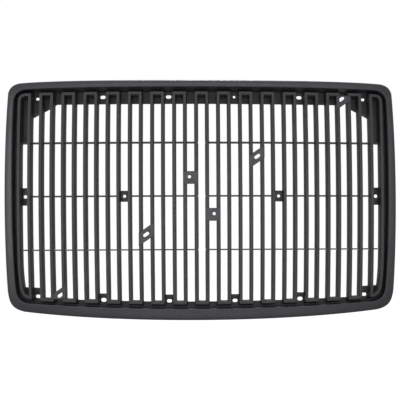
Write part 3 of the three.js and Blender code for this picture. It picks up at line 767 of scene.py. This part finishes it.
def loop_cutters(x):
    """Lists of blocks to take out of one loop: tie rib slots, seats and tab pockets."""
    low, high = x - CUTTER_REACH, x + CUTTER_REACH
    groups = [rib_slots(low, high)]
    band_end = (SEAT_TOP - BAND_SLIVER + BAND_HALF_HEIGHT - SEAT_CENTRE_Z) / BAND_SLOPE
    start, end = max(low, -BAND_REACH), min(high, band_end)
    if end > start:
        groups.append([draped_block(
            "band", start, end, lambda u: max(seat_middle(u) - BAND_HALF_HEIGHT, SEAT_BOTTOM),
            lambda u: min(seat_middle(u) + BAND_HALF_HEIGHT, SEAT_TOP),
            CUTTER_FRONT, SEAT_DEPTH, step=6)])
    half_width, half_height = EMBLEM_SEAT
    start, end = max(low, -half_width), min(high, half_width)
    if end > start:
        groups.append([draped_block(
            "emblem", start, end, lambda _: SEAT_CENTRE_Z - half_height,
            lambda _: SEAT_CENTRE_Z + half_height, CUTTER_FRONT, SEAT_DEPTH, step=12)])
    pocket_rear = SEAT_DEPTH + TAB_THICKNESS + TAB_CLEARANCE
    for kind in ("emblem", *DIAGONAL_TABS):
        for side in SIDES.values():
            outline, touch = tab_outline(kind, side, TAB_CLEARANCE)
            if abs(touch[0] - x) < PITCH:
                groups.append([sheared_block(
                    "pocket", outline, tangent(*touch), CUTTER_FRONT, pocket_rear)])
    return groups


def stake_places(x):
    """Where a loop is fixed to the upper and lower rail."""
    outermost = abs(x) > LAST_LEG_X
    top = OUTER_LOOP_TOP if outermost else loop_top(x)
    bottom = OUTER_LOOP_BOTTOM if outermost else loop_bottom(x)
    top_end_rear = CORNER_TOP_END_REAR if outermost else TOP_END_REAR
    upper = top + (top_end_rear - BAR_HALF_REAR) / 2
    lower = bottom - (BOTTOM_END_REAR - BAR_HALF_REAR) / 2
    return (x, upper), (x, lower)


def stakes(x):
    """The pegs that go through the rails, each melted down to a domed head."""
    root = BAR_DEPTH - PEG_ROOT
    seat = RAIL_REAR + 0.1
    profile = [(0, root), (PEG_RADIUS, root), (PEG_RADIUS, seat), (STAKE_RADIUS - 0.3, seat)]
    steps = 6
    for k in range(steps + 1):
        a = math.pi / 2 * k / steps
        rise = STAKE_RIM + (STAKE_HEIGHT - STAKE_RIM) * math.sin(a)
        profile.append((STAKE_RADIUS * math.cos(a), seat + rise))
    return [lathe("stake", *place, profile, 20) for place in stake_places(x)]


loop_centres = [(i - (LOOP_COUNT - 1) / 2) * PITCH for i in range(LOOP_COUNT)]
for i, x in enumerate(loop_centres):
    outermost = i in (0, LOOP_COUNT - 1)
    line, sharp = corner_loop_line() if outermost else loop_line(x)
    if i == 0:
        line = [p * (-1, 1) for p in reversed(line)]
    top_end_rear = CORNER_TOP_END_REAR if outermost else TOP_END_REAR
    loop = build_loop(f"louvre_{i + 1:02d}", line, sharp, top_end_rear)
    for group in loop_cutters(x):
        cut(loop, group)
    join(loop, *stakes(x))
    finish_piece(loop, louvre_black, "satin_black", f"louvre_loop_{i + 1:02d}")

# ---------- tie ribs ----------


def build_rib(name, x_from, x_to, z):
    """A thin flat bar on edge, bent to the dome, with rounded edges and ends."""
    low, high = z - RIB_THICKNESS / 2, z + RIB_THICKNESS / 2
    corners = [(low, RIB_FRONT), (high, RIB_FRONT), (high, RIB_REAR), (low, RIB_REAR)]
    section = rounded(corners, [RIB_ROUND] * 4, 3)
    middle = np.mean(section, axis=0)
    stations = [(x_from, RIB_END_SHARE), (x_from + RIB_TAPER, 1.0)]
    count = math.ceil((x_to - x_from) / RIB_STEP)
    stations += [(x_from + (x_to - x_from) * k / count, 1.0) for k in range(1, count)]
    stations += [(x_to - RIB_TAPER, 1.0), (x_to, RIB_END_SHARE)]
    rings = []
    for x, share in stations:
        ring = []
        depth_share = 1 - (1 - share) * 0.15
        for point in section:
            height, depth = middle + (point - middle) * (share, depth_share)
            ring.append((x, bow(x, height) + depth, height))
        rings.append(ring)
    return wrapped_grid(name, rings, closed=False)


# The upper and lower ribs reach the outer legs. The middle one leaves out the mid tabs and side tabs.
leg_face = LEG_SPACING / 2 - BAR_HALF_FRONT
rib_end = OUTER_LEG_X + 3
tab_from = MID_TAB_GAP * PITCH + LEG_SPACING / 2 + BAR_HALF_FRONT
tab_to = (MID_TAB_GAP + 1) * PITCH - LEG_SPACING / 2 - BAR_HALF_FRONT
rib_spans = [
    ("upper", "upper", leg_face, rib_end),
    ("middle_inner", "middle", leg_face, tab_from),
    ("middle_outer", "middle", tab_to, LAST_LEG_X + BAR_HALF_FRONT),
    ("lower", "lower", leg_face, rib_end),
]
for word, height, start, end in rib_spans:
    for side, sign in SIDES.items():
        rib = build_rib(f"rib_{word}_{side}", *sorted((sign * start, sign * end)), RIB_HEIGHTS[height])
        finish_piece(rib, carrier_black, "satin_black", f"tie_rib_{word}_{side}")

# ---------- tabs ----------


def add_tab(word, suffix, outline, hole, front, touch):
    """A flat plate with one hole, laid on the plane that touches the dome at one point."""
    rear = front + TAB_THICKNESS
    tab = plate(f"{word}_plate_{suffix}", outline, [hole], front, rear, tangent(*touch))
    finish_piece(tab, carrier_black, "satin_black", f"{word}_tab_{suffix}")


for side, sign in SIDES.items():
    outline, touch = tab_outline("emblem", sign)
    hole = slot_line(sign * EMBLEM_HOLE_X, touch[1] + EMBLEM_HOLE_RISE, EMBLEM_HOLE, EMBLEM_HOLE)
    add_tab("emblem", side, outline, hole, SEAT_DEPTH, touch)
    for kind, (_, slot_x, drop, _) in DIAGONAL_TABS.items():
        outline, touch = tab_outline(kind, sign)
        slot_z = seat_middle(sign * slot_x) - (drop if sign > 0 else 0)
        hole = slot_line(sign * slot_x, slot_z, *DIAGONAL_SLOT, math.atan(BAND_SLOPE))
        add_tab("diagonal", f"{kind}_{side}", outline, hole, SEAT_DEPTH, touch)
    x, half_width = sign * gap_centre(MID_TAB_GAP), LEG_REACH + BAR_HALF_REAR - MID_TAB_INSET
    outline = rectangle(x, SEAT_CENTRE_Z, half_width, MID_TAB_HALF_HEIGHT, REAR_TAB_CORNER)
    hole = slot_line(x, SEAT_CENTRE_Z, MID_TAB_HOLE, MID_TAB_HOLE)
    add_tab("mid", side, outline, hole, RAIL_FRONT, (x, SEAT_CENTRE_Z))
    x, half_width = sign * (SIDE_TAB_FROM + SIDE_TAB_TO) / 2, (SIDE_TAB_TO - SIDE_TAB_FROM) / 2
    outline = rectangle(x, SEAT_CENTRE_Z, half_width, SIDE_TAB_HALF_HEIGHT, REAR_TAB_CORNER)
    hole = slot_line(sign * SIDE_TAB_HOLE_X, SEAT_CENTRE_Z, SIDE_TAB_HOLE, SIDE_TAB_HOLE)
    add_tab("side", side, outline, hole, RAIL_FRONT, (x, SEAT_CENTRE_Z))

# ---------- carrier rails ----------

rim = band_line(RAIL_EDGE_SHARE)
right_rim = rim[:len(rim) // 2 + 1]
half_gap = RAIL_JOINT_GAP / 2


def flipped(points):
    """The same line on the other side, in the same order."""
    return [np.array((-p[0], p[1])) for p in points]


def rim_between(low, high):
    """The right half of the rails' outer edge between two heights, from top to bottom."""
    kept = [p for p in right_rim if low < p[1] < high]
    if high < math.inf:
        kept.insert(0, crossing(right_rim, 1, high))
    if low > -math.inf:
        kept.append(crossing(right_rim, 1, low))
    return kept


def sill(x):
    """Height of the bottom rail's upper edge."""
    return loop_bottom(x) + SILL_RISE


def top_rail_outline():
    outside = rim_between(STILE_TOP + half_gap, math.inf)
    edge = [
        (STILE_EDGE_X, STILE_TOP + half_gap), (STILE_EDGE_X, RIB_HEIGHTS["upper"]),
        (LAST_LEG_X, RIB_HEIGHTS["upper"]), (LAST_LEG_X, GUSSET_END_Z), GUSSET[1], GUSSET[0],
    ]
    (x0, z0), (x1, z1) = GUSSET
    low, high = NOTCH_X - NOTCH_HALF_WIDTH, NOTCH_X + NOTCH_HALF_WIDTH
    notch = [
        (high, z0 + (z1 - z0) * (high - x0) / (x1 - x0)), (high, NOTCH_TOP), (low, NOTCH_TOP),
        (low, PANEL_BOTTOM + (z0 - PANEL_BOTTOM) * low / x0), (0, PANEL_BOTTOM),
    ]
    return outside + edge[:-1] + notch + flipped(edge[::-1]) + flipped(outside[:0:-1])


def bottom_rail_outline():
    outside = rim_between(-math.inf, STILE_BOTTOM - half_gap)
    step = LAST_LEG_X - LEG_SPACING - 1
    edge = [
        (STILE_EDGE_X, STILE_BOTTOM - half_gap), (STILE_EDGE_X, STEP_TOP_OUTSIDE),
        (step, STEP_TOP_INSIDE), (step, sill(STEP_FOOT_X)),
    ]
    for gap in (SLOT_GAPS[1], SLOT_GAPS[0]):
        x, w = gap_centre(gap), BOTTOM_TAB_HALF_WIDTH
        top = sill(x) + BOTTOM_TAB_TOP
        edge += [
            (x + SILL_STEP, sill(x + SILL_STEP)), (x + w, sill(x + w)), (x + w, top),
            (x - w, top), (x - w, sill(x - w)),
        ]
    edge.append((0, sill(0)))
    return outside + flipped(outside[-2::-1]) + flipped(edge) + edge[-2::-1]


def stile_outline():
    outside = rim_between(STILE_BOTTOM + half_gap, STILE_TOP - half_gap)
    return outside + [(STILE_EDGE_X, STILE_BOTTOM + half_gap), (STILE_EDGE_X, STILE_TOP - half_gap)]


def hood_slots(top):
    """Slots in one rail for the hood's fasteners: x of the pad, x of the slot, z, length, height."""
    out = []
    for gap, (z, length, height, inset) in zip(SLOT_GAPS, TOP_SLOTS if top else BOTTOM_SLOTS):
        middle = gap_centre(gap)
        for sign in SIDES.values():
            # Right of the middle at the top there is a round locating hole instead.
            locator = top and sign * gap == 1
            size = (LOCATOR_HOLE, LOCATOR_HOLE) if locator else (length, height)
            out.append((sign * middle, sign * (middle - inset), z, *size))
    return out


def hood_pad(x, slot_x, z, length, height):
    """A pad behind a slot, flat on its rear face, that carries the hood's fastener."""
    front, rear = HOOD_PAD_FRONT, HOOD_PAD_REAR
    outline = rectangle(x, z, BOTTOM_TAB_HALF_WIDTH - 1, HOOD_PAD_HALF_HEIGHT, HOOD_PAD_CORNER)
    hole = slot_line(slot_x, z, length + HOOD_PAD_HOLE_MARGIN, height + HOOD_PAD_HOLE_MARGIN)
    pad = plate("pad", outline, [hole], front, rear, lambda *_: 0, 0.5)
    for v in pad.data.vertices:
        share = (v.co.y / MM - front) / (rear - front)
        bowed = bow(v.co.x / MM, v.co.z / MM) + front
        v.co.y = (bowed + (bow(x, z) + rear - bowed) * share) * MM
    return pad


def screw_collar(x, z):
    """A round collar through the rail that stands on the surround's boss."""
    low, high, bore = BOSS_REAR + 0.4, COLLAR_REAR, SCREW_RADIUS + 0.5
    profile = [
        (bore, low + 0.3), (bore + 0.3, low),
        (COLLAR_RADIUS - CHAMFER, low), (COLLAR_RADIUS, low + CHAMFER),
        (COLLAR_RADIUS, high - CHAMFER), (COLLAR_RADIUS - CHAMFER, high),
        (bore + CHAMFER, high), (bore, high - CHAMFER),
    ]
    return lathe("collar", x, z, profile, 28)


def build_rail(name, outline, slots, pegs, wanted):
    """A rail with its slots, peg holes and pads, and collars for the screws that the test wants."""
    sites = [(x, z) for x, z in screw_places.values() if wanted(x, z)]
    collar_hole = 2 * (COLLAR_RADIUS - CHAMFER)
    collars = [slot_line(x, z, collar_hole, collar_hole) for x, z in sites]
    peg_hole = 2 * (PEG_RADIUS + PEG_CLEARANCE)
    pins = [slot_line(x, z, peg_hole, peg_hole, sides=16) for x, z in pegs]
    holes = [slot_line(*slot) for _, *slot in slots] + pins + collars
    rail = plate(name, outline, holes, RAIL_FRONT, RAIL_REAR, bow, RAIL_EDGE_ROUND, RAIL_CELL)
    return join(rail, *(hood_pad(*slot) for slot in slots), *(screw_collar(x, z) for x, z in sites))


loop_pegs = [stake_places(x) for x in loop_centres]
top_rail = build_rail(
    "top_rail", top_rail_outline(), hood_slots(True), [upper for upper, _ in loop_pegs],
    lambda x, z: z > STILE_TOP)
finish_piece(top_rail, carrier_black, "satin_black", "carrier_top_rail")
bottom_rail = build_rail(
    "bottom_rail", bottom_rail_outline(), hood_slots(False), [lower for _, lower in loop_pegs],
    lambda x, z: z < STILE_BOTTOM)
finish_piece(bottom_rail, carrier_black, "satin_black", "carrier_bottom_rail")
for side, sign in SIDES.items():
    outline = stile_outline() if sign > 0 else flipped(stile_outline())
    stile = build_rail(
        f"stile_{side}", outline, [], [], lambda x, z: x * sign > 0 and STILE_BOTTOM < z < STILE_TOP)
    finish_piece(stile, carrier_black, "satin_black", f"carrier_{side}_stile")

# ---------- screws ----------


def build_screw(name, x, z):
    """A pan-head thread-forming screw with a cross recess, driven from behind."""
    seat = COLLAR_REAR + 0.3
    head = seat + SCREW_HEAD_HEIGHT
    profile = [(0, seat - SCREW_LENGTH), (SCREW_RADIUS * 0.3, seat - SCREW_LENGTH)]
    threaded = SCREW_LENGTH - THREAD_POINT - THREAD_RUNOUT
    for k in range(THREAD_TURNS + 1):
        depth = seat - SCREW_LENGTH + THREAD_POINT + k * threaded / THREAD_TURNS
        profile += [(THREAD_ROOT, depth), (SCREW_RADIUS, depth + THREAD_HALF_PITCH)]
    profile += [(SCREW_RADIUS, seat), (SCREW_HEAD_RADIUS - 0.2, seat), (SCREW_HEAD_RADIUS, seat + 0.25)]
    steps = 7
    for k in range(1, steps + 1):
        a = math.pi / 2 * k / steps
        rise = 0.45 + (SCREW_HEAD_HEIGHT - 0.45) * math.sin(a)
        profile.append((SCREW_HEAD_RADIUS * (0.62 + 0.38 * math.cos(a)), seat + rise))
    profile.append((0, head))
    screw = lathe(name, x, z, profile, 32)
    length, width, depth = RECESS
    for angle in (math.pi / 4, -math.pi / 4):
        outline = slot_line(x, z, length, width, angle, 12)
        arm = sheared_block("recess", outline, lambda *_: bow(x, z), head - depth, head + 2)
        cut(screw, [arm])
    return screw


for name, (x, z) in screw_places.items():
    finish_piece(build_screw("panhead_" + name, x, z), zinc, "zinc_steel", name, angle=30)

# ---------- camera, light, floor ----------

cam_data = bpy.data.cameras.new("camera")
cam = new_object("camera", cam_data)
scene.camera = cam
cam_data.lens = CAMERA_LENS
cam_data.shift_x, cam_data.shift_y = CAMERA_SHIFT
turn = Matrix.Rotation(math.radians(CAMERA_TURN), 4, "Z") @ Matrix.Rotation(math.radians(90), 4, "X")
roll = Matrix.Rotation(CAMERA_ROLL, 4, "Z")
cam.matrix_world = Matrix.Translation(CAMERA_PLACE) @ turn @ roll

world = bpy.data.worlds.new("studio")
scene.world = world
world.use_nodes = True
sky = world.node_tree
background = sky.nodes["Background"]
background.inputs["Color"].default_value = (1, 1, 1, 1)
path = sky.nodes.new("ShaderNodeLightPath")
strength = ramp(sky, path.outputs["Is Camera Ray"], 0, 1, AMBIENT, 1.0)
sky.links.new(strength, background.inputs["Strength"])

for name, (place, size, power) in SOFT_BOXES.items():
    lamp = bpy.data.lights.new(name, "AREA")
    lamp.shape = "RECTANGLE"
    lamp.size, lamp.size_y = size
    lamp.energy = power
    holder = new_object(name, lamp)
    holder.location = place
    holder.rotation_euler = (-Vector(place)).to_track_quat("-Z", "Y").to_euler()

# A pale floor well below the grille. It glows to meet the white background and lights nothing.
half = FLOOR_SIZE / 2 / MM
corners = [(-half, -half, 0), (half, -half, 0), (half, half, 0), (-half, half, 0)]
floor = mesh_object("floor", corners, [(0, 1, 2, 3)])
floor.location.z = FLOOR_Z
floor.visible_diffuse = False
floor.visible_glossy = False
pale = bpy.data.materials.new("pale_floor")
pale.use_nodes = True
paint = pale.node_tree.nodes["Principled BSDF"]
paint.inputs["Base Color"].default_value = (0.85, 0.85, 0.84, 1)
paint.inputs["Roughness"].default_value = 0.8
paint.inputs["Emission Color"].default_value = (1, 1, 1, 1)
paint.inputs["Emission Strength"].default_value = FLOOR_GLOW
floor.data.materials.append(pale)

scene.view_settings.view_transform = "Standard"
